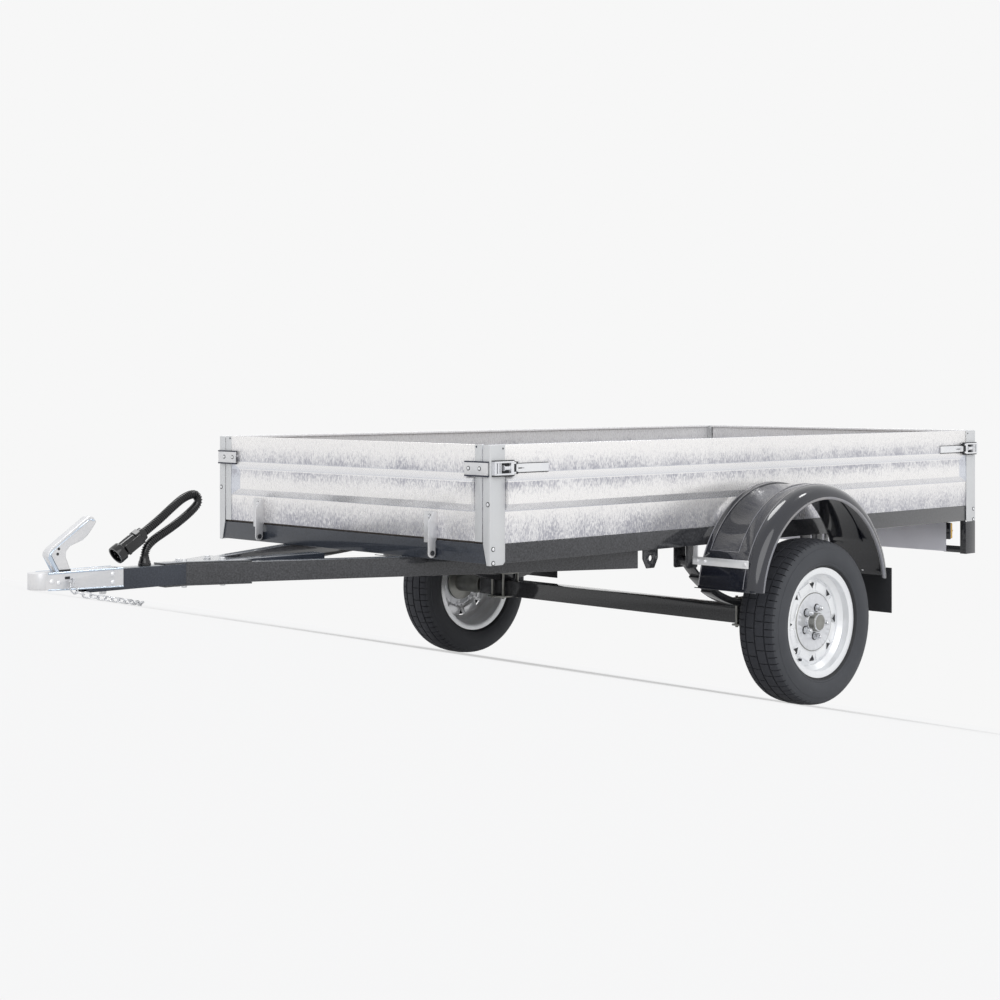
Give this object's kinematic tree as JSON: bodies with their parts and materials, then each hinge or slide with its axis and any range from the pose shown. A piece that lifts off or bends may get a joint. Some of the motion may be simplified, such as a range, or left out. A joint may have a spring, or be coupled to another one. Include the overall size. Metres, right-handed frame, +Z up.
{
  "type": "utility trailer",
  "caption": "Single-axle open box utility trailer with pressed galvanised walls, hinged front and rear gates, V drawbar and ball coupling, parked nose down.",
  "frame": {"origin": "centre of the ball socket in the coupling head", "axes": "+X forward towards the coupling's nose, +Y to the trailer's left, +Z up; the trailer is stored as parked, its nose on the floor"},
  "size_m": [3.6757, 1.85, 1.1451],
  "materials": {
    "bed_board": "brown film-faced plywood",
    "black_frame": "satin black powder coat",
    "black_plastic": "moulded, lightly grained",
    "conduit_plastic": "ribbed black conduit",
    "flap_rubber": "dull sheet rubber",
    "galvanised": "hot-dip galvanised sheet with a faint spangle",
    "lamp_plastic": "moulded lenses, red and amber",
    "silver_rim": "satin silver paint",
    "tyre_rubber": "dull black rubber",
    "zinc": "bright zinc-plated pressed steel"
  },
  "bodies": {
    "chassis": {"axle_beam": "black_frame", "cable_conduit": "conduit_plastic", "cable_gland": "conduit_plastic", "cable_plug": "conduit_plastic", "corner_posts": "galvanised", "coupling_handle": "zinc", "coupling_head": "zinc", "crossmembers": "black_frame", "drawbar_beam_left": "black_frame", "drawbar_beam_right": "black_frame", "floor_board": "bed_board", "front_rail": "black_frame", "gusset_plates": "black_frame", "hinge_lugs": "black_frame", "lamp_board": "galvanised", "lamp_brackets": "black_frame", "lashing_eyes": "black_frame", "leaf_spring_left": "black_frame", "leaf_spring_right": "black_frame", "mudflaps": "flap_rubber", "mudguard_left": "black_plastic", "mudguard_right": "black_plastic", "mudguard_stays": "galvanised", "rear_rail": "black_frame", "safety_chain": "zinc", "side_rail_left": "black_frame", "side_rail_right": "black_frame", "side_wall_left": "galvanised", "side_wall_right": "galvanised", "spring_clamps": "zinc", "spring_hangers": "black_frame", "tail_lamp_left": "lamp_plastic", "tail_lamp_right": "lamp_plastic", "toggle_latches": "zinc", "tongue": "black_frame"},
    "left_wheel": {"hub_left": "black_frame", "rim_left": "silver_rim", "tyre_left": "tyre_rubber"},
    "right_wheel": {"hub_right": "black_frame", "rim_right": "silver_rim", "tyre_right": "tyre_rubber"},
    "front_gate_body": {"front_gate": "galvanised", "front_gate_fittings": "galvanised"},
    "rear_gate_body": {"rear_gate": "galvanised", "rear_gate_fittings": "galvanised"}
  },
  "joints": [
    {"name": "left_wheel_spin", "type": "hinge", "parent": "chassis", "child": "left_wheel", "pos_m": [-2.378, 0.838, 0.25537], "axis": [0, 1, 0], "continuous": true},
    {"name": "right_wheel_spin", "type": "hinge", "parent": "chassis", "child": "right_wheel", "pos_m": [-2.378, -0.838, 0.25537], "axis": [0, 1, 0], "continuous": true},
    {"name": "front_gate_swing", "type": "hinge", "parent": "chassis", "child": "front_gate_body", "pos_m": [-1.02998, 0, 0.26304], "axis": [0, 1, 0], "range_deg": [0, 90]},
    {"name": "rear_gate_swing", "type": "hinge", "parent": "chassis", "child": "rear_gate_body", "pos_m": [-3.62209, 0, 0.8042], "axis": [0, -1, 0], "range_deg": [0, 165]}
  ]
}
